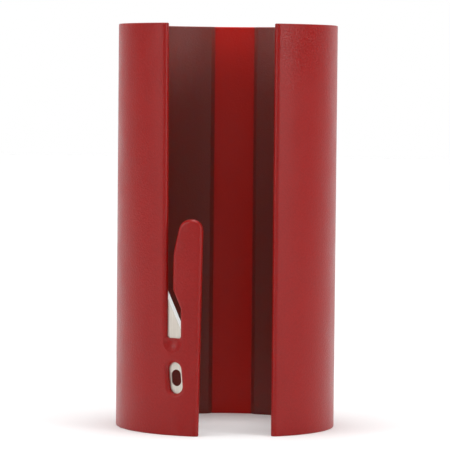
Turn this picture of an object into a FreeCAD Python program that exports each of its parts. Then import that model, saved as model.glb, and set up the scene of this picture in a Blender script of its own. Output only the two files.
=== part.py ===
import FreeCAD, Part
import math
import os
import Sketcher

# A slide-on cutter for rolls of wrapping paper, in millimetres. One plastic sleeve, open
# along its front, slips round the roll. The sheet is led through a narrow channel beside a
# tongue at the lower left of the opening, where a small steel blade slits it.
#
# The sleeve is one moulding. Here it is divided at the thin band down its back, where it
# bends, so that its two sides can spread: a blade side, a plain side and the band between.
#
# Frame: the sleeve's axis is Z, its lower rim stands at Z = 0, and its opening faces -Y.
# A bearing is an angle about the axis, counted from the front towards +X.

doc = FreeCAD.newDocument("RollCutter")
sizes = doc.addObject("Spreadsheet::Sheet", "Sizes")

DRIVING = [
    # The sleeve.
    ("outer_diameter", 79.6),
    ("wall", 2.6),
    ("sleeve_height", 146),
    ("opening_angle", 60),
    ("lip_round", 1.4),
    ("inner_round", 0.4),
    ("rim_round", 0.4),
    # How much nearer the middle the blade side ends at the channel's foot than the plain side
    # does, and how far it leans back from there by the top.
    ("foot_inset", 0.32),
    ("end_lean", 0.65),
    # The thin band that lets the sleeve spread.
    ("web_angle", 22),
    ("web_wall", 1.2),
    ("web_slope_angle", 41),
    # The tongue, as seen from the front. Its head stands a throat's width from the other
    # side of the channel, and its widths are counted from the head's left side. Near its tip
    # the head's left side leans in.
    ("throat_gap", 2.22),
    ("neck_step", 2.9),
    ("head_taper", 2.67),
    ("head_width", 10.65),
    ("foot_width", 9.5),
    ("channel_foot", 34.5),
    ("neck_height", 10.5),
    ("shoulder_rise", 6.7),
    ("head_height", 25.1),
    ("taper_height", 12.4),
    ("tip_round_right", 3.9),
    ("tip_round_left", 4.5),
    ("taper_round", 20),
    ("shoulder_round", 2),
    ("foot_round", 0.8),
    # The dish at the channel's foot: the width of its round outline, how far below the foot
    # its middle lies, and how deep it is there.
    ("scoop_width", 7.8),
    ("scoop_drop", 1.2),
    ("scoop_depth", 1.4),
    # The blade. Its length is along its own axis, which leans to the left, and counts from
    # the middle of the hole in its tail.
    ("blade_thickness", 0.5),
    ("blade_width", 9),
    ("blade_cover", 1.9),
    ("blade_lean", 5.3),
    ("blade_tail", 8.4),
    ("edge_low", 16.8),
    ("edge_high", 40.6),
    ("bevel_width", 1.15),
    ("edge_flat", 0.04),
    ("hole_width", 3.7),
    ("hole_length", 5.9),
    ("hole_from_neck", 1.45),
    # The window in the sleeve that shows the blade's tail.
    ("window_drop", 14.1),
    ("window_width", 5.2),
    ("window_length", 11.1),
    ("window_round", 1.3),
]
for row, (alias, value) in enumerate(DRIVING, start=1):
    sizes.set(f"A{row}", alias.replace("_", " "))
    sizes.set(f"B{row}", str(value))
    sizes.setAlias(f"B{row}", alias)
doc.recompute()

OUTER = "(Sizes.outer_diameter / 2)"
INNER = f"({OUTER} - Sizes.wall)"
HALF_OPENING = "(Sizes.opening_angle / 2)"
HALF_WEB = "(Sizes.web_angle / 2)"
WEB_STEP = "(Sizes.wall - Sizes.web_wall)"

# How far from the middle plane each side ends. The ends face straight across the opening,
# because the mould draws to the front.
PLAIN_END = f"({INNER} * sin({HALF_OPENING}))"
BLADE_END = f"({PLAIN_END} - Sizes.foot_inset)"
BLADE_END_AT_TOP = f"({BLADE_END} + Sizes.end_lean)"

# The low stretch of wall that the tongue is cut from runs from the middle plane to a little
# past the opening's half angle, so that it joins the full-height wall.
STOCK_OVERLAP = 2  # degrees
STOCK_SPAN = f"({HALF_OPENING} + {STOCK_OVERLAP})"

# Distances to the left of the middle plane, and heights of the tongue.
HEAD_LEFT = f"({PLAIN_END} - Sizes.throat_gap)"
NECK_LEFT = f"({HEAD_LEFT} - Sizes.neck_step)"
HEAD_LEFT_AT_TOP = f"({HEAD_LEFT} - Sizes.head_taper)"
TONGUE_RIGHT_AT_TOP = f"({HEAD_LEFT} - Sizes.head_width)"
TONGUE_RIGHT_AT_FOOT = f"({HEAD_LEFT} - Sizes.foot_width)"
NECK_TOP = "(Sizes.channel_foot + Sizes.neck_height)"
SHOULDER = f"({NECK_TOP} + Sizes.shoulder_rise)"
TONGUE_TOP = f"({SHOULDER} + Sizes.head_height)"
TAPER_FROM = f"({TONGUE_TOP} - Sizes.taper_height)"

# The blade's middle plane, with its origin at the middle of its hole, X across it, Y up
# along it and Z straight out of the sleeve.
BLADE_RADIUS = f"({OUTER} - Sizes.blade_cover - Sizes.blade_thickness / 2)"
BLADE_LEFT = f"({NECK_LEFT} + Sizes.hole_from_neck)"
BLADE_BEARING = f"asin({BLADE_LEFT} / {BLADE_RADIUS})"
BLADE_PLACE = (
    f"placement(vector(-{BLADE_LEFT}; -{BLADE_RADIUS} * cos({BLADE_BEARING});"
    " Sizes.channel_foot - Sizes.window_drop);"
    f" rotation(vector(0; 0; 1); -{BLADE_BEARING}) * rotation(vector(1; 0; 0); 90)"
    " * rotation(vector(0; 0; 1); Sizes.blade_lean))"
)

NEAR = 1e-3  # mm, how close a point has to be to count as on a surface
NEAR_ANGLE = 0.01  # degrees, the same for a bearing
CLEAR = 1  # mm, how far a cut runs past what it cuts
THROUGH = 4  # times its own depth, how long a cut is that passes right through a thing


def value(expression):
    """The number that an expression on the sheet gives."""
    result = sizes.evalExpression(expression)
    return float(getattr(result, "Value", result))


def new_body(name):
    body = doc.addObject("PartDesign::Body", name)
    body.Label = name
    return body


def origin_plane(body, role):
    return next(f for f in body.Origin.OriginFeatures if f.Role == role)


def new_sketch(body, name, role, placement=None):
    """A sketch on one of its body's origin planes, moved from it by a placement expression."""
    sketch = body.newObject("Sketcher::SketchObject", name)
    sketch.AttachmentSupport = [(origin_plane(body, role), "")]
    sketch.MapMode = "FlatFace"
    if placement:
        sketch.setExpression("AttachmentOffset", placement)
    return sketch


def hold(sketch, kind, first, second, expression):
    """A signed X or Y distance from one sketch point to another, bound to the sheet."""
    number = value(expression)
    if number < 0:
        first, second, expression = second, first, f"-({expression})"
    index = sketch.addConstraint(Sketcher.Constraint(kind, *first, *second, abs(number)))
    sketch.setExpression(f"Constraints[{index}]", expression)


def draw_outline(sketch, corners):
    """A closed outline of straight lines through corners, each a pair of expressions."""
    points = [FreeCAD.Vector(value(x), value(y), 0) for x, y in corners]
    following = points[1:] + points[:1]
    lines = [sketch.addGeometry(Part.LineSegment(p, q)) for p, q in zip(points, following)]
    for line, after in zip(lines, lines[1:] + lines[:1]):
        sketch.addConstraint(Sketcher.Constraint("Coincident", line, 2, after, 1))
    for i, (x, y) in zip(lines, corners):
        for kind, axis, expression in (("DistanceX", -2, x), ("DistanceY", -1, y)):
            if expression == "0":
                sketch.addConstraint(Sketcher.Constraint("PointOnObject", i, 1, axis))
            else:
                hold(sketch, kind, (-1, 1), (i, 1), expression)


def draw_obround(sketch, width, length):
    """A slot that stands upright about the sketch's origin, with round ends."""
    radius = value(width) / 2
    reach = value(length) / 2 - radius
    ends = [FreeCAD.Vector(0, reach, 0), FreeCAD.Vector(0, -reach, 0)]
    for end, start_angle in zip(ends, (0, math.pi)):
        circle = Part.Circle(end, FreeCAD.Vector(0, 0, 1), radius)
        sketch.addGeometry(Part.ArcOfCircle(circle, start_angle, start_angle + math.pi))
    for side in (-radius, radius):
        ends_of_side = [FreeCAD.Vector(side, y, 0) for y in (reach, -reach)]
        sketch.addGeometry(Part.LineSegment(*ends_of_side))
    for arc, arc_end, line, line_end in ((0, 2, 2, 1), (1, 1, 2, 2), (0, 1, 3, 1), (1, 2, 3, 2)):
        sketch.addConstraint(Sketcher.Constraint("Tangent", arc, arc_end, line, line_end))
    for arc in (0, 1):
        sketch.addConstraint(Sketcher.Constraint("PointOnObject", arc, 3, -2))
    sketch.addConstraint(Sketcher.Constraint("Equal", 0, 1))
    index = sketch.addConstraint(Sketcher.Constraint("Radius", 0, radius))
    sketch.setExpression(f"Constraints[{index}]", f"{width} / 2")
    hold(sketch, "DistanceY", (-1, 1), (0, 3), f"({length} - {width}) / 2")
    hold(sketch, "DistanceY", (-1, 1), (1, 3), f"-({length} - {width}) / 2")


def add_feature(body, kind, name, **settings):
    """A feature of a body, with properties set from plain values or bound to expressions."""
    feature = body.newObject(f"PartDesign::{kind}", name)
    for setting, content in settings.items():
        if isinstance(content, str) and setting in ("Length", "Angle", "Radius", "Size", "Size2"):
            feature.setExpression(setting, content)
        else:
            setattr(feature, setting, content)
    doc.recompute()
    return feature


def revolve_wall(body, name, inner, top, middle, span):
    """A stretch of the round wall, spread evenly about the bearing of its middle."""
    turn = f"placement(vector(0; 0; 0); rotation(vector(0; 1; 0); {middle} - 90))"
    sketch = new_sketch(body, f"{name}_section", "XZ_Plane", turn)
    draw_outline(sketch, [(inner, "0"), (OUTER, "0"), (OUTER, top), (inner, top)])
    axis = (sketch, ["V_Axis"])
    return add_feature(
        body, "Revolution", name, Profile=sketch, ReferenceAxis=axis, Midplane=True, Angle=span
    )


def pad_wall(body, name, side, end):
    """One side's full-height wall. Side is -1 on the left and 1 on the right. Its end towards
    the opening stands a distance from the middle plane, and its other end is radial."""
    outer = value(OUTER)
    inner = value(INNER)
    across = side * value(end)
    web = math.radians(90 - value(HALF_WEB))
    web_angle = web if side > 0 else math.pi - web
    sketch = new_sketch(body, f"{name}_section", "XY_Plane")
    centre = FreeCAD.Vector(0, 0, 0)
    front_ends = []
    for radius in (outer, inner):
        front_angle = -math.acos(across / radius)
        start, stop = (front_angle, web_angle) if side > 0 else (web_angle, front_angle + 2 * math.pi)
        circle = Part.Circle(centre, FreeCAD.Vector(0, 0, 1), radius)
        sketch.addGeometry(Part.ArcOfCircle(circle, start, stop))
        front_ends.append(FreeCAD.Vector(across, -math.sqrt(radius**2 - across**2), 0))
    sketch.addGeometry(Part.LineSegment(*front_ends))
    web_ends = [FreeCAD.Vector(r * math.cos(web_angle), r * math.sin(web_angle), 0) for r in (outer, inner)]
    sketch.addGeometry(Part.LineSegment(*web_ends))
    at_front, at_web = (1, 2) if side > 0 else (2, 1)
    for arc, line_end, radius in ((0, 1, OUTER), (1, 2, INNER)):
        sketch.addConstraint(Sketcher.Constraint("Coincident", arc, 3, -1, 1))
        sketch.addConstraint(Sketcher.Constraint("Coincident", arc, at_front, 2, line_end))
        sketch.addConstraint(Sketcher.Constraint("Coincident", arc, at_web, 3, line_end))
        index = sketch.addConstraint(Sketcher.Constraint("Radius", arc, value(radius)))
        sketch.setExpression(f"Constraints[{index}]", radius)
        hold(sketch, "DistanceX", (-1, 1), (3, line_end), f"{side} * {radius} * sin({HALF_WEB})")
    sketch.addConstraint(Sketcher.Constraint("Vertical", 2))
    hold(sketch, "DistanceX", (-1, 1), (2, 1), f"{side} * {end}")
    return add_feature(body, "Pad", name, Profile=sketch, Length="Sizes.sleeve_height")


def points_of(edge):
    """Points along an edge: its ends and three between."""
    first, last = edge.ParameterRange
    steps = 4
    return [edge.valueAt(first + (last - first) * step / steps) for step in range(steps + 1)]


def edges_where(feature, test):
    """The names of the edges whose every point passes a test."""
    edges = enumerate(feature.Shape.Edges, start=1)
    return [f"Edge{i}" for i, edge in edges if all(test(p) for p in points_of(edge))]


def bearing(point):
    return math.degrees(math.atan2(point.x, -point.y))


def on_wall(point, radius):
    return abs(math.hypot(point.x, point.y) - radius) < NEAR


def at_web_end(point):
    """On the flat end where a side meets the thin band."""
    return abs(abs(bearing(point)) - 180 + value(HALF_WEB)) < NEAR_ANGLE


def round_edges(body, name, radius, test):
    """Rounds every edge of a body's last feature that passes a test."""
    base = body.Tip
    return add_feature(body, "Fillet", name, Base=(base, edges_where(base, test)), Radius=radius)


def on_rim(point):
    return abs(point.z) < NEAR or abs(point.z - value("Sizes.sleeve_height")) < NEAR


def round_rims(body):
    """Rounds the upper and lower rims, up to the joint with the next stretch of the wall."""
    base = body.Tip
    joints = edges_where(base, at_web_end)
    names = [name for name in edges_where(base, on_rim) if name not in joints]
    return add_feature(body, "Fillet", "rims", Base=(base, names), Radius="Sizes.rim_round")


def round_front(body, name, wall_radius, radius):
    """Rounds one face's edge along the opening, the tongue and the channel."""
    front = value(HALF_OPENING) + STOCK_OVERLAP / 2
    base = body.Tip
    rims = edges_where(base, on_rim)
    edges = edges_where(base, lambda p: on_wall(p, wall_radius) and abs(bearing(p)) < front)
    names = [edge for edge in edges if edge not in rims]
    return add_feature(body, "Fillet", name, Base=(base, names), Radius=radius)


def finish_side(body):
    """Slopes the wall down to the thin band, and rounds the opening's edges and the rims."""
    outer = value(OUTER)
    inner = value(INNER)

    def is_thinned(feature):
        corner = inner + value(WEB_STEP)
        return bool(edges_where(feature, lambda p: on_wall(p, corner) and at_web_end(p)))

    base = body.Tip
    corner_edge = edges_where(base, lambda p: on_wall(p, inner) and at_web_end(p))
    slope = add_feature(
        body, "Chamfer", "web_slope", Base=(base, corner_edge), ChamferType="Two distances",
        Size=WEB_STEP, Size2=f"{WEB_STEP} / tan(Sizes.web_slope_angle)",
    )
    if not is_thinned(slope):
        slope.FlipDirection = True
        doc.recompute()

    round_front(body, "lip", outer, "Sizes.lip_round")
    round_front(body, "inner_lip", inner, "Sizes.inner_round")
    round_rims(body)


def make_plain_side():
    """The side of the sleeve to the right of the opening."""
    body = new_body("plain_side_shell")
    pad_wall(body, "wall", 1, PLAIN_END)
    finish_side(body)
    return body


def make_flex_web():
    """The thin band down the back, thinned from the inside."""
    body = new_body("flex_web")
    inner = f"({OUTER} - Sizes.web_wall)"
    revolve_wall(body, "band", inner, "Sizes.sleeve_height", "180", "Sizes.web_angle")
    round_rims(body)
    return body


def cut_tongue(body):
    """Cuts the tongue's outline out of a low stretch of wall, as seen from the front."""
    beyond = f"-({OUTER} * sin({STOCK_SPAN}) + {CLEAR})"
    corners = [
        (beyond, "Sizes.channel_foot"),
        (f"-{NECK_LEFT}", "Sizes.channel_foot"),
        (f"-{NECK_LEFT}", NECK_TOP),
        (f"-{HEAD_LEFT}", SHOULDER),
        (f"-{HEAD_LEFT}", TAPER_FROM),
        (f"-{HEAD_LEFT_AT_TOP}", TONGUE_TOP),
        (f"-{TONGUE_RIGHT_AT_TOP}", TONGUE_TOP),
        (f"-{TONGUE_RIGHT_AT_FOOT}", "0"),
        (f"-{TONGUE_RIGHT_AT_FOOT}", f"-{CLEAR}"),
        (f"{CLEAR}", f"-{CLEAR}"),
        (f"{CLEAR}", f"{TONGUE_TOP} + {CLEAR}"),
        (beyond, f"{TONGUE_TOP} + {CLEAR}"),
    ]
    sketch = new_sketch(body, "tongue_outline", "XZ_Plane")
    draw_outline(sketch, corners)
    return add_feature(
        body, "Pocket", "around_tongue", Profile=sketch, Reversed=True, Length=f"{OUTER} + {CLEAR}"
    )


def round_tongue_corners(body):
    """Rounds the outline of the tongue's head: its tip, where its taper starts, its shoulder."""
    for name, left, height, radius in (
        ("tip_right", TONGUE_RIGHT_AT_TOP, TONGUE_TOP, "Sizes.tip_round_right"),
        ("tip_left", HEAD_LEFT_AT_TOP, TONGUE_TOP, "Sizes.tip_round_left"),
        ("taper", HEAD_LEFT, TAPER_FROM, "Sizes.taper_round"),
        ("shoulder", HEAD_LEFT, SHOULDER, "Sizes.shoulder_round"),
    ):
        x = -value(left)
        z = value(height)
        round_edges(
            body, name, radius, lambda p, x=x, z=z: math.hypot(p.x - x, p.z - z) < NEAR
        )


def lean_end(body):
    """Leans the end of the wall above the channel's foot away from the tongue."""
    top = "Sizes.sleeve_height"
    corners = [
        (f"-{BLADE_END}", "Sizes.channel_foot"),
        (f"-{BLADE_END_AT_TOP}", top),
        (f"-{BLADE_END_AT_TOP}", f"{top} + {CLEAR}"),
        (f"-{BLADE_END}", f"{top} + {CLEAR}"),
    ]
    sketch = new_sketch(body, "end_outline", "XZ_Plane")
    draw_outline(sketch, corners)
    return add_feature(
        body, "Pocket", "leaning_end", Profile=sketch, Reversed=True, Length=f"{OUTER} + {CLEAR}"
    )


def round_channel_foot(body):
    """Rounds the two corners at the foot of the channel, and the bend at the neck's top."""
    neck = -value(NECK_LEFT)
    heights = (value("Sizes.channel_foot"), value(NECK_TOP))
    end = -value(BLADE_END)

    def corner(point):
        beside = abs(point.x - neck) < NEAR or abs(point.x - end) < NEAR
        return beside and min(abs(point.z - height) for height in heights) < NEAR

    round_edges(body, "foot_corners", "Sizes.foot_round", corner)


def cut_window(body):
    """An obround window over the blade's tail, right through the wall, with rounded edges."""
    sketch = new_sketch(body, "window_outline", "XY_Plane", BLADE_PLACE)
    draw_obround(sketch, "Sizes.window_width", "Sizes.window_length")
    add_feature(
        body, "Pocket", "window", Profile=sketch, SideType="Symmetric",
        Length=f"{THROUGH} * Sizes.wall",
    )
    into_window = sketch.Placement.inverse()
    half_width = value("Sizes.window_width / 2") + CLEAR
    half_length = value("Sizes.window_length / 2") + CLEAR

    def beside_window(point):
        local = into_window.multVec(point)
        return abs(local.x) < half_width and abs(local.y) < half_length

    for name, radius, rounding in (
        ("window_edge", value(OUTER), "Sizes.window_round"),
        ("window_inner_edge", value(INNER), "Sizes.inner_round"),
    ):
        round_edges(
            body, name, rounding, lambda p, r=radius: on_wall(p, r) and beside_window(p)
        )


def cut_scoop(body):
    """A shallow dish at the foot of the channel, where the sheet is fed in."""
    across = f"(({NECK_LEFT} + {OUTER} * sin({HALF_OPENING})) / 2)"
    side = f"asin({across} / {OUTER})"
    radius = "((Sizes.scoop_width^2 / 4 + Sizes.scoop_depth^2) / (2 * Sizes.scoop_depth))"
    out = f"({OUTER} - Sizes.scoop_depth + {radius})"
    scoop = body.newObject("PartDesign::SubtractiveSphere", "scoop")
    scoop.AttachmentSupport = [(origin_plane(body, "XY_Plane"), "")]
    scoop.MapMode = "FlatFace"
    scoop.setExpression("Radius", radius)
    scoop.setExpression(
        "AttachmentOffset",
        f"placement(vector(-{out} * sin({side}); -{out} * cos({side});"
        f" Sizes.channel_foot - Sizes.scoop_drop); rotation(vector(0; 0; 1); -{side}))",
    )
    doc.recompute()
    return scoop


def make_blade_side():
    """The side to the left of the opening, with the tongue, the channel and the window."""
    body = new_body("blade_side_moulding")
    revolve_wall(body, "tongue_stock", INNER, TONGUE_TOP, f"-{STOCK_SPAN} / 2", STOCK_SPAN)
    cut_tongue(body)
    round_tongue_corners(body)
    pad_wall(body, "wall", -1, BLADE_END)
    lean_end(body)
    round_channel_foot(body)
    finish_side(body)
    cut_window(body)
    cut_scoop(body)
    return body


def make_blade():
    """A flat steel blade with a slanted edge ground on both faces, and a hole in its tail."""
    body = new_body("blade")
    body.setExpression("Placement", BLADE_PLACE)
    right = "Sizes.blade_width / 2"
    left = "-Sizes.blade_width / 2"
    outline = new_sketch(body, "blade_outline", "XY_Plane")
    draw_outline(
        outline,
        [
            (left, "-Sizes.blade_tail"),
            (right, "-Sizes.blade_tail"),
            (right, "Sizes.edge_low"),
            (left, "Sizes.edge_high"),
        ],
    )
    add_feature(
        body, "Pad", "plate", Profile=outline, SideType="Symmetric", Length="Sizes.blade_thickness"
    )
    hole = new_sketch(body, "hole_outline", "XY_Plane")
    draw_obround(hole, "Sizes.hole_width", "Sizes.hole_length")
    add_feature(
        body, "Pocket", "hole", Profile=hole, SideType="Symmetric",
        Length=f"{THROUGH} * Sizes.blade_thickness",
    )
    grind_edge(body)
    return body


def grind_edge(body):
    """Cuts a long bevel on each face of the blade, along its slanted edge."""
    slant = "atan(Sizes.blade_width / (Sizes.edge_high - Sizes.edge_low))"
    across_edge = (
        "placement(vector(0; (Sizes.edge_low + Sizes.edge_high) / 2; 0);"
        f" rotation(vector(0; 0; 1); 180 deg + {slant}) * rotation(vector(1; 0; 0); 90))"
    )
    sketch = new_sketch(body, "bevels", "XY_Plane", across_edge)
    for face in ("", "-"):
        draw_outline(
            sketch,
            [
                ("-Sizes.bevel_width", f"{face}Sizes.edge_flat / 2"),
                ("0", f"{face}Sizes.edge_flat / 2"),
                ("Sizes.bevel_width", f"{face}Sizes.blade_thickness / 2"),
                ("Sizes.bevel_width", f"{face}Sizes.blade_thickness"),
                ("-Sizes.bevel_width", f"{face}Sizes.blade_thickness"),
            ],
        )
    add_feature(
        body, "Pocket", "ground_bevels", Profile=sketch, SideType="Symmetric",
        Length=f"{THROUGH} * Sizes.edge_high",
    )


blade = make_blade()
moulding = make_blade_side()

# The sleeve is moulded round the blade, so its pocket is the blade's own shape.
blade_side = doc.addObject("Part::Cut", "blade_side_shell")
blade_side.Base = moulding
blade_side.Tool = blade
doc.recompute()

NODES = [blade_side, make_plain_side(), make_flex_web(), blade]

for item in doc.Objects:
    if "Invalid" in item.State or "Error" in item.State:
        raise SystemExit(f"{item.Name} failed: {item.State}")
for node in NODES:
    if node.Shape.isNull() or not node.Shape.isValid():
        raise SystemExit(f"{node.Label} has no valid shape")

os.makedirs("parts", exist_ok=True)
for node in NODES:
    node.Shape.exportStep(f"parts/{node.Label}.step")
    print(f"{node.Label}: {len(node.Shape.Solids)} solid, {node.Shape.Volume:.1f} cubic mm")
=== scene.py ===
# %% [markdown]
# # A slide-on cutter for rolls of gift wrap
# The object is a red plastic sleeve, open down its front, that springs round a roll of paper. A tongue
# hangs in the opening, and a small steel blade lies across the foot of the channel beside it. Paper pulled
# out through the channel runs onto the blade. The frame gives every size, so nothing here is fitted.

# %% Load the frame
import math

import bmesh
import bpy
import numpy as np
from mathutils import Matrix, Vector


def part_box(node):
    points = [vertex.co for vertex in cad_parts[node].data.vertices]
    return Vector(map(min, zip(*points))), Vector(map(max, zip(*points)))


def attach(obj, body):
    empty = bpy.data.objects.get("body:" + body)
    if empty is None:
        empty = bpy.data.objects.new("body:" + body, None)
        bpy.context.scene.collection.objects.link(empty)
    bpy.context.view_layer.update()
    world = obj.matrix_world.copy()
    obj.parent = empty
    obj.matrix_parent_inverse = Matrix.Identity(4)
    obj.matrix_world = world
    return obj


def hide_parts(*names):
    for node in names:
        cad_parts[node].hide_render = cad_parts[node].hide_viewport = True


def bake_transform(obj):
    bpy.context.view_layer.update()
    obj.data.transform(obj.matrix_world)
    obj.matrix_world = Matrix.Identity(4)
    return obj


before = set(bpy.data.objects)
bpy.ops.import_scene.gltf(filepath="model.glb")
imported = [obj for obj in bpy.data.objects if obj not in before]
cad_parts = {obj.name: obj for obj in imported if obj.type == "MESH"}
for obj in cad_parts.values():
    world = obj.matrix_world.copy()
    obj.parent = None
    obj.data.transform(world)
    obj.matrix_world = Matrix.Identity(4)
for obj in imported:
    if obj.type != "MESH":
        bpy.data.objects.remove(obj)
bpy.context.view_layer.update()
scene = bpy.context.scene
MM = 0.001

# %% [markdown]
# ## One moulding out of three walls
# The real sleeve comes out of its mould in one piece: two thick sides and a thin band down the back that
# lets them spread. The frame divides it into three nodes so that a hinge can stand in for the band. Shown
# as three, light scattered inside the plastic would stop at each join and leave a dark line. It could be
# drawn again from nothing, but the frame's walls already have the right shape, so copies of them are
# merged: the faces where they touch are left out and the points that they share become one.

# %% Read a wall and find where it touches the next
_, tube_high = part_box("plain_side_shell")
OUTER_RADIUS = tube_high.x
_, band_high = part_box("flex_web")
BAND_HALF_WIDTH = band_high.x
BAND_HALF_ANGLE = math.asin(BAND_HALF_WIDTH / OUTER_RADIUS)
TOUCHING = 0.004 * MM


def wall_arrays(name):
    """A node's points, its triangles, and the way each corner of them faces."""
    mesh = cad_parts[name].data
    points = np.empty(len(mesh.vertices) * 3, np.float32)
    mesh.vertices.foreach_get("co", points)
    triangles = np.empty(len(mesh.loops), np.int32)
    mesh.loops.foreach_get("vertex_index", triangles)
    facing = np.empty(len(mesh.loops) * 3, np.float32)
    mesh.corner_normals.foreach_get("vector", facing)
    return points.reshape(-1, 3).astype(float), triangles.reshape(-1, 3), facing.reshape(-1, 3, 3)


def on_join(points):
    """True for points on the two upright planes, through the tube's axis, where the band meets the sides."""
    across = np.abs(points[:, 0]) * math.cos(BAND_HALF_ANGLE)
    back = points[:, 1] * math.sin(BAND_HALF_ANGLE)
    return np.abs(across - back) < TOUCHING


print(f"tube radius {OUTER_RADIUS / MM:.2f} mm, band {2 * math.degrees(BAND_HALF_ANGLE):.1f} degrees wide")

# %% Merge the walls
WELD = 0.001 * MM
NEAR_ZERO = 1e-9
REST_PLACE = "rest_place"


def merged(names, leave_out=None):
    """Joins walls into one set of points and triangles. Points that agree to a micrometre become one."""
    points, triangles, facing = [], [], []
    count = 0
    for name in names:
        wall_points, wall_triangles, wall_facing = wall_arrays(name)
        kept = np.ones(len(wall_triangles), bool)
        if leave_out is not None:
            kept = ~leave_out(wall_points)[wall_triangles].all(axis=1)
        points.append(wall_points)
        triangles.append(wall_triangles[kept] + count)
        facing.append(wall_facing[kept])
        count += len(wall_points)
    points, triangles, facing = np.vstack(points), np.vstack(triangles), np.vstack(facing)
    cells = np.round(points / WELD).astype(np.int64)
    _, first, shared = np.unique(cells, axis=0, return_index=True, return_inverse=True)
    triangles = shared.reshape(-1)[triangles]
    following = np.roll(triangles, 1, axis=1)
    whole = (triangles != following).all(axis=1)
    return points[first], triangles[whole], facing[whole]


def make_piece(name, points, triangles, facing):
    """A mesh object from arrays, closed where two walls' edges were cut into different steps. Each point's
    place at rest is kept as an attribute, for the materials."""
    mesh = bpy.data.meshes.new(name)
    mesh.from_pydata(points, [], triangles.tolist())
    build = bmesh.new()
    build.from_mesh(mesh)
    gaps = [edge for edge in build.edges if edge.is_boundary]
    filled = bmesh.ops.holes_fill(build, edges=gaps, sides=0)["faces"]
    bmesh.ops.triangulate(build, faces=filled)
    left_open = sum(edge.is_boundary for edge in build.edges)
    volume = build.calc_volume(signed=True)
    build.to_mesh(mesh)
    build.free()
    mesh.polygons.foreach_set("use_smooth", np.ones(len(mesh.polygons), bool))
    corner_points = np.empty(len(mesh.loops), np.int32)
    mesh.loops.foreach_get("vertex_index", corner_points)
    summed = np.zeros((len(mesh.vertices), 3))
    np.add.at(summed, triangles.reshape(-1), facing.reshape(-1, 3))
    directions = summed[corner_points]
    directions[: facing.shape[0] * 3] = facing.reshape(-1, 3)
    lengths = np.linalg.norm(directions, axis=1, keepdims=True)
    directions /= np.maximum(lengths, NEAR_ZERO)
    mesh.normals_split_custom_set(directions.tolist())
    at_rest = np.empty(len(mesh.vertices) * 3, np.float32)
    mesh.vertices.foreach_get("co", at_rest)
    mesh.attributes.new(REST_PLACE, "FLOAT_VECTOR", "POINT").data.foreach_set("vector", at_rest)
    piece = bpy.data.objects.new(name, mesh)
    scene.collection.objects.link(piece)
    print(f"{name}: {len(mesh.polygons)} faces, {left_open} open edges, {volume / MM**3:.0f} cubic mm")
    return piece


WALLS = ["blade_side_shell", "flex_web", "plain_side_shell"]
sleeve = make_piece("sleeve_moulding", *merged(WALLS, leave_out=on_join))

# %% [markdown]
# ## The blade
# The blade is stamped from 0.5 mm steel strip and then ground to an edge on both faces, so it has two
# finishes: the strip's rolled face and the bright ground bevel. It could be two pieces laid together, but
# it is one piece of steel, so it is one mesh whose faces are given the finish that their slope calls for.
# The bevels lean from the flats by only a few degrees, and the plate's cut sides stand square to them.

# %% Merge the blade and sort its faces
blade = make_piece("steel_blade", *merged(["blade"]))
normals = np.empty(len(blade.data.polygons) * 3, np.float32)
blade.data.polygons.foreach_get("normal", normals)
normals = normals.reshape(-1, 3)
areas = np.empty(len(blade.data.polygons), np.float32)
blade.data.polygons.foreach_get("area", areas)
flat_normal = normals[areas.argmax()]
slope = np.degrees(np.arccos(np.clip(np.abs(normals @ flat_normal), 0, 1)))
FLAT, GROUND = 0, 1
LEAST_BEVEL, MOST_BEVEL = 2, 30
finish_of_face = np.where((slope > LEAST_BEVEL) & (slope < MOST_BEVEL), GROUND, FLAT)
blade.data.polygons.foreach_set("material_index", finish_of_face.astype(np.int32))
blade_turn = math.atan2(-flat_normal[0], flat_normal[1]) % math.pi
print("ground faces", int((finish_of_face == GROUND).sum()), "of", len(finish_of_face))
print(f"the flat is turned {math.degrees(blade_turn):.1f} degrees from facing the front")

# %% [markdown]
# ## Colours and nodes
# Colours are written as hex values and turned into the linear numbers that Blender works in. One small
# function adds a node with its settings and links and gives its output, so each material reads as a list of
# its layers. Colours could be painted on the mesh instead, but patterns worked out from a point's place can
# be as fine as they need to be and can be changed by a single number.

# %% Helpers for materials
def linear(hex_colour):
    """An sRGB hex colour as linear red, green, blue and alpha."""
    parts = [int(hex_colour[i : i + 2], 16) / 255 for i in (0, 2, 4)]
    straight = [c / 12.92 if c <= 0.04045 else ((c + 0.055) / 1.055) ** 2.4 for c in parts]
    return (*straight, 1.0)


def node(tree, kind, inputs=None, out=0, **settings):
    """Adds a node and gives one of its outputs. Settings are the node's properties, and inputs are its
    sockets' values or the outputs that feed them."""
    made = tree.nodes.new(kind)
    for name, value in settings.items():
        setattr(made, name, value)
    for name, value in (inputs or {}).items():
        if isinstance(value, bpy.types.NodeSocket):
            tree.links.new(value, made.inputs[name])
        else:
            made.inputs[name].default_value = value
    return made.outputs[out] if made.outputs else made


def new_material(name):
    """An empty material and its node tree."""
    made = bpy.data.materials.new(name)
    made.use_nodes = True
    made.node_tree.nodes.clear()
    return made, made.node_tree


# Short names for the kinds of node, and the settings that several of them share.
MATHS, RANGE, MIX = "ShaderNodeMath", "ShaderNodeMapRange", "ShaderNodeMix"
NOISE, BUMP, SHADER = "ShaderNodeTexNoise", "ShaderNodeBump", "ShaderNodeBsdfPrincipled"
COORDINATES, OUTPUT = "ShaderNodeTexCoord", "ShaderNodeOutputMaterial"
EASED = {"interpolation_type": "SMOOTHSTEP"}
COLOURS = {"data_type": "RGBA", "out": 2}

print("white is", linear("ffffff"))

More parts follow.
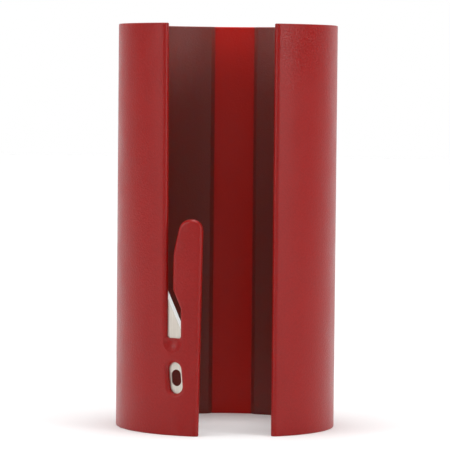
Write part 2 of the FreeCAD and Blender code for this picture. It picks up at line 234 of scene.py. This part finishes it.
# %% [markdown]
# ## Red moulded plastic
# The sleeve is injection-moulded plastic, taken here for polypropylene, with red pigment all through it. The
# outside of the mould was lightly etched, so the face has a fine even grain and a soft, wide shine. The core
# that shapes the inside leaves a duller wall. The inside is also painted a greyer, pinker red, which is
# painted sheen standing in for the soft shine that the inner wall picks up. Light goes a short way into the
# plastic, most of all the red, and further where the band is thin, so the band glows. The band is also
# painted a brighter red, a painted glow on top of that. Each look could be a material of its own, but it is
# one moulding, so it is one material, and masks say where each look begins. They are worked out from each
# point's place at rest, kept on the mesh, so that they stay put when the sleeve springs open.

# %% The moulded red
# The real grain is finer. It is drawn coarser so that it shows from where the camera stands.
GRAIN = 0.7 * MM
GRAIN_DEPTH = 0.12 * MM
MOTTLE = 14 * MM
PIGMENT = "8c0a07"
PIGMENT_PALE = "9e100b"
# Painted sheen: the inside's greyer, pinker red stands in for the soft shine on the inner wall. The plastic
# is the same red all through.
INSIDE_RED_AND_PAINTED_SHEEN = "863f38"
# Painted glow: the band's brighter red stands in for light shining through the thin band from behind.
BAND_PAINTED_GLOW = "bb1407"
INNER_RADIUS = OUTER_RADIUS - 2.6 * MM
SLOPE_WIDTH = 1.8 * MM
SCATTER_IN_WALL = 0.22 * MM
SCATTER_IN_BAND = 2.0 * MM
SHINIEST, DULLEST = 0.28, 0.36
DULLER_INSIDE = 0.12
# Where each mask is 0 and where it is 1. The edges are soft, so that no line shows between two looks.
BAND_LIMITS = {"From Min": BAND_HALF_WIDTH + 0.4 * MM, "From Max": BAND_HALF_WIDTH - 0.7 * MM}
INNER_LIMITS = {"From Min": INNER_RADIUS + 0.4 * MM, "From Max": INNER_RADIUS + 0.1 * MM}
OUTER_LIMITS = {"From Min": OUTER_RADIUS - 0.1 * MM, "From Max": OUTER_RADIUS - 0.5 * MM}
THINNED_LIMITS = {"From Min": OUTER_RADIUS - 1.0 * MM, "From Max": OUTER_RADIUS - 1.2 * MM}
SLOPE_END = BAND_HALF_WIDTH + SLOPE_WIDTH
SLOPE_LIMITS = {"From Min": SLOPE_END + 0.2 * MM, "From Max": SLOPE_END}


def make_moulded_red():
    """The whole sleeve's plastic: grain and mottle outside, a duller wall inside with painted sheen in its
    colour, and a glow in the band, partly from light scattered in the plastic and partly painted.
    """
    made, tree = new_material("red_moulded_plastic")
    place = node(tree, "ShaderNodeAttribute", out="Vector", attribute_name=REST_PLACE)
    x = node(tree, "ShaderNodeSeparateXYZ", {"Vector": place}, out="X")
    y = node(tree, "ShaderNodeSeparateXYZ", {"Vector": place}, out="Y")
    # A point's distance from the axis tells the outer face, the inner face and the thinned back apart.
    level = node(tree, "ShaderNodeVectorMath", {0: place, 1: (1.0, 1.0, 0.0)}, operation="MULTIPLY")
    from_axis = node(tree, "ShaderNodeVectorMath", {0: level}, out="Value", operation="LENGTH")

    sideways = node(tree, MATHS, {0: x}, operation="ABSOLUTE")
    at_back = node(tree, MATHS, {0: y, 1: 0.0}, operation="GREATER_THAN")
    near_middle = node(tree, RANGE, {"Value": sideways, **BAND_LIMITS}, **EASED)
    in_band = node(tree, MATHS, {0: near_middle, 1: at_back}, operation="MULTIPLY")
    inner_face = node(tree, RANGE, {"Value": from_axis, **INNER_LIMITS}, **EASED)

    # The slopes beside the band lie further out than the inner face, but look like it.
    near_band = node(tree, RANGE, {"Value": sideways, **SLOPE_LIMITS}, **EASED)
    thinned = node(tree, RANGE, {"Value": from_axis, **THINNED_LIMITS}, **EASED)
    on_slope = node(tree, MATHS, {0: near_band, 1: thinned}, operation="MULTIPLY")
    on_slope = node(tree, MATHS, {0: on_slope, 1: at_back}, operation="MULTIPLY")
    inside = node(tree, MATHS, {0: inner_face, 1: on_slope}, operation="MAXIMUM")

    # The painted glow, a brighter red standing in for light through the thin band, is kept off the outer
    # face, which is lit from in front like the rest of the outside.
    below_face = node(tree, RANGE, {"Value": from_axis, **OUTER_LIMITS}, **EASED)
    painted_glow_mask = node(tree, MATHS, {0: in_band, 1: below_face}, operation="MULTIPLY")

    # Grain gives the eye the etched face's faint sparkle, and mottle keeps the wide shine from looking flat.
    fine = {"Scale": 1 / GRAIN, "Detail": 3.0, "Roughness": 0.6}
    grain = node(tree, NOISE, {"Vector": place, **fine})
    mottle = node(tree, NOISE, {"Vector": place, "Scale": 1 / MOTTLE, "Detail": 2.0})
    speckle = node(tree, RANGE, {"Value": grain, "From Min": 0.35, "From Max": 0.65}, **EASED)
    uneven = node(tree, MATHS, {0: speckle, 1: mottle}, operation="ADD")
    uneven = node(tree, MATHS, {0: uneven, 1: 0.5}, operation="MULTIPLY")
    outside_colour = node(tree, MIX, {0: uneven, 6: linear(PIGMENT), 7: linear(PIGMENT_PALE)}, **COLOURS)
    # The inner wall takes the greyer, pinker red of the painted sheen.
    wall_colour = node(tree, MIX, {0: inside, 6: outside_colour, 7: linear(INSIDE_RED_AND_PAINTED_SHEEN)}, **COLOURS)
    # The band takes the brighter red of the painted glow.
    colour = node(tree, MIX, {0: painted_glow_mask, 6: wall_colour, 7: linear(BAND_PAINTED_GLOW)}, **COLOURS)

    # Light that goes in and comes out again softens the lips and lights the band from within.
    depths = {"From Min": 0.0, "From Max": 1.0, "To Min": SCATTER_IN_WALL, "To Max": SCATTER_IN_BAND}
    scatter = node(tree, RANGE, {"Value": in_band, **depths}, **EASED)
    etched = {"From Min": 0.3, "From Max": 0.7, "To Min": SHINIEST, "To Max": DULLEST}
    etched_shine = node(tree, RANGE, {"Value": mottle, **etched}, **EASED)
    duller = node(tree, MATHS, {0: inside, 1: DULLER_INSIDE}, operation="MULTIPLY")
    shine = node(tree, MATHS, {0: etched_shine, 1: duller}, operation="ADD")
    bump = node(tree, BUMP, {"Height": grain, "Distance": GRAIN_DEPTH, "Strength": 1.0})
    layers = {
        "Base Color": colour,
        "Roughness": shine,
        "IOR": 1.49,
        "Specular IOR Level": 0.3,
        "Subsurface Weight": 1.0,
        "Subsurface Scale": scatter,
        "Subsurface Radius": (1.0, 0.06, 0.03),
        "Normal": bump,
    }
    node(tree, OUTPUT, {"Surface": node(tree, SHADER, layers)})
    return made


moulded_red = make_moulded_red()
sleeve.data.materials.append(moulded_red)
print("made", moulded_red.name)

# %% [markdown]
# ## Blade steel
# The strip is cold-rolled carbon steel, which leaves fine straight lines along its length and a soft
# satin shine. Grinding the edge leaves a smoother face that flashes almost white. Both could be one even
# grey, but an even metal looks like plastic, so noise drawn out along the strip varies the colour and the
# shine from line to line. The two finishes differ in nothing but their numbers, so one function makes both.

# %% The two finishes of the blade
# Real rolling lines are finer. They are drawn coarser so that they show from where the camera stands.
ROLLING_LINES = 0.35 * MM
LINE_STRETCH = 0.03
LINE_DEPTH = 0.01 * MM
STAIN = 4 * MM


def make_steel(name, colour, worn_colour, low, high, lines):
    """Steel with fine lines along the strip, whose colour and shine vary a little from line to line."""
    made, tree = new_material(name)
    place = node(tree, "ShaderNodeAttribute", out="Vector", attribute_name=REST_PLACE)
    scale = (1 / lines, 1 / lines, LINE_STRETCH / lines)
    drawn_out = {"Rotation": (0.0, 0.0, -blade_turn), "Scale": scale}
    along = node(tree, "ShaderNodeMapping", {"Vector": place, **drawn_out})
    streaks = node(tree, NOISE, {"Vector": along, "Scale": 1.0, "Detail": 3.0})
    stain = node(tree, NOISE, {"Vector": place, "Scale": 1 / STAIN, "Detail": 4.0})
    lined = node(tree, RANGE, {"Value": streaks, "From Min": 0.3, "From Max": 0.7}, **EASED)
    uneven = node(tree, MATHS, {0: stain, 1: lined}, operation="ADD")
    uneven = node(tree, MATHS, {0: uneven, 1: 0.5}, operation="MULTIPLY")
    tone = node(tree, MIX, {0: uneven, 6: linear(colour), 7: linear(worn_colour)}, **COLOURS)
    shine = node(tree, RANGE, {"Value": streaks, "To Min": low, "To Max": high})
    bump = node(tree, BUMP, {"Height": streaks, "Distance": LINE_DEPTH})
    layers = {"Base Color": tone, "Metallic": 1.0, "Roughness": shine, "Normal": bump}
    node(tree, OUTPUT, {"Surface": node(tree, SHADER, layers)})
    return made


# The rolled face gives the eye a warm satin grey with faint upright lines, the ground face a bright flash.
rolled_steel = make_steel("rolled_strip_steel", "d2cbc1", "bcb5ac", 0.36, 0.5, ROLLING_LINES)
ground_steel = make_steel("ground_edge_steel", "ffffff", "f2f1ee", 0.3, 0.42, ROLLING_LINES / 2)
blade.data.materials.append(rolled_steel)
blade.data.materials.append(ground_steel)
print("made", rolled_steel.name, "and", ground_steel.name)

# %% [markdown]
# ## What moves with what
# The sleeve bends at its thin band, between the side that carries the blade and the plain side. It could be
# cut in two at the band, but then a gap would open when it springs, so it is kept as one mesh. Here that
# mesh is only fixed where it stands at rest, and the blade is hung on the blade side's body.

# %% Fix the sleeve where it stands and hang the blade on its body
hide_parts(*WALLS)
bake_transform(sleeve)
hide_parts("blade")
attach(blade, "blade_side")

# %% [markdown]
# ## Floor, light and camera
# A product of this kind is photographed on white paper, under a wide bank of lamps and between two soft
# boxes at its sides. The paper throws light back from below. The walls of the room at eye level are dimmer,
# so the upright red face is lit evenly and yet reflects little. The boxes draw the bright lines along the
# lips and put the sheen on the inside near the top. Behind the object the room is white, which pales its
# outline. A single lamp would be simpler, but would leave one side dark and a hard shadow on the paper.

# %% The floor
FLOOR_HALF = 4.0
FLOOR_LINES = 5


def make_floor():
    """A flat grid of two parameters, across and away, each from minus to plus half the floor's width."""
    lines = np.linspace(-FLOOR_HALF, FLOOR_HALF, FLOOR_LINES)
    across, away = np.meshgrid(lines, lines)
    points = np.stack([across, away, np.zeros_like(across)], axis=-1).reshape(-1, 3)
    columns = across.shape[1]
    corner = (np.arange(columns - 1)[:, None] * columns + np.arange(columns - 1)).reshape(-1)
    faces = np.stack([corner, corner + 1, corner + columns + 1, corner + columns], axis=-1)
    mesh = bpy.data.meshes.new("paper_floor")
    mesh.from_pydata(points, [], faces.tolist())
    made = bpy.data.objects.new("paper_floor", mesh)
    scene.collection.objects.link(made)
    return made


floor = make_floor()
paper, paper_tree = new_material("white_background_paper")
# Uncoated paper has hardly any shine, which gives the eye a soft shadow and no mirror image.
matt_white = {"Base Color": linear("f8f8f8"), "Roughness": 0.9}
node(paper_tree, OUTPUT, {"Surface": node(paper_tree, SHADER, matt_white)})
floor.data.materials.append(paper)
print("floor", len(floor.data.polygons), "faces")

# %% The room
scene.view_settings.view_transform = "Standard"


def make_room(front, sides, back, overhead):
    """A room whose walls differ in brightness: in front, at the sides, behind and overhead. The camera
    itself sees plain white."""
    room = bpy.data.worlds.new("white_room")
    room.use_nodes = True
    tree = room.node_tree
    tree.nodes.clear()
    direction = node(tree, COORDINATES, out="Generated")
    away = node(tree, "ShaderNodeSeparateXYZ", {"Vector": direction}, out="Y")
    up = node(tree, "ShaderNodeSeparateXYZ", {"Vector": direction}, out="Z")
    front_to_side = {"From Min": -1.0, "From Max": 0.0, "To Min": front, "To Max": sides}
    in_front = node(tree, RANGE, {"Value": away, **front_to_side}, **EASED)
    behind = node(tree, RANGE, {"Value": away, "From Min": 0.55, "From Max": 0.95}, **EASED)
    walls = node(tree, MIX, {0: behind, 2: in_front, 3: back})
    high = node(tree, RANGE, {"Value": up, "From Min": 0.05, "From Max": 0.35}, **EASED)
    lit = node(tree, MIX, {0: high, 2: walls, 3: overhead})
    seen = node(tree, "ShaderNodeLightPath", out="Is Camera Ray")
    shown = node(tree, MIX, {0: seen, 2: lit, 3: 1.0})
    background = node(tree, "ShaderNodeBackground", {"Color": linear("ffffff"), "Strength": shown})
    node(tree, "ShaderNodeOutputWorld", {"Surface": background})
    scene.world = room


make_room(front=0.2, sides=0.2, back=1.0, overhead=0.6)
print("world", scene.world.name)

# %% The lamps
SOFTBOX_SIZE = 0.45
SOFTBOX_AIM = (0, 0, 0.1)


def make_softbox(name, place, power):
    """A square soft lamp at a place, turned to the middle of the sleeve."""
    lamp = bpy.data.lights.new(name, "AREA")
    lamp.shape = "RECTANGLE"
    lamp.size = SOFTBOX_SIZE
    lamp.size_y = SOFTBOX_SIZE
    lamp.energy = power
    made = bpy.data.objects.new(name, lamp)
    scene.collection.objects.link(made)
    made.location = place
    aim = Vector(SOFTBOX_AIM) - Vector(place)
    made.rotation_euler = aim.to_track_quat("-Z", "Y").to_euler()
    return made


def make_overhead(name, strength, spread):
    """A wide bank of lamps straight overhead, far enough away to light the whole floor alike."""
    lamp = bpy.data.lights.new(name, "SUN")
    lamp.energy = strength
    lamp.angle = math.radians(spread)
    made = bpy.data.objects.new(name, lamp)
    scene.collection.objects.link(made)
    return made


make_overhead("overhead_bank", strength=1.6, spread=24)
make_softbox("softbox_left", (-1.04, -0.6, 0.45), power=3.7)
make_softbox("softbox_right", (1.04, -0.6, 0.45), power=4.7)

# %% [markdown]
# ## The camera
# The sleeve is seen from about a metre in front, a little to its right and from just below its top, through
# a long lens that hardly narrows it towards the back. Nearer with a wider lens would fill the picture just
# as well, but would show more of the inside and bend the rims more.

# %% The camera
CAMERA_PLACE = (70.8 * MM, -1083.1 * MM, 124.6 * MM)
CAMERA_TURN = 3.77
CAMERA_DOWN = 2.713
CAMERA_ROLL = 0.536
LENS = 238.3
SENSOR = 36
lens = bpy.data.cameras.new("camera")
lens.lens = LENS
lens.sensor_width = SENSOR
lens.clip_start = 0.05
lens.clip_end = 20
camera = bpy.data.objects.new("camera", lens)
scene.collection.objects.link(camera)
camera.location = CAMERA_PLACE
look = (
    Matrix.Rotation(math.radians(CAMERA_TURN), 4, "Z")
    @ Matrix.Rotation(math.radians(90 - CAMERA_DOWN), 4, "X")
    @ Matrix.Rotation(math.radians(CAMERA_ROLL), 4, "Z")
)
camera.rotation_euler = look.to_euler()
scene.camera = camera
print("camera", tuple(round(value, 4) for value in camera.location))
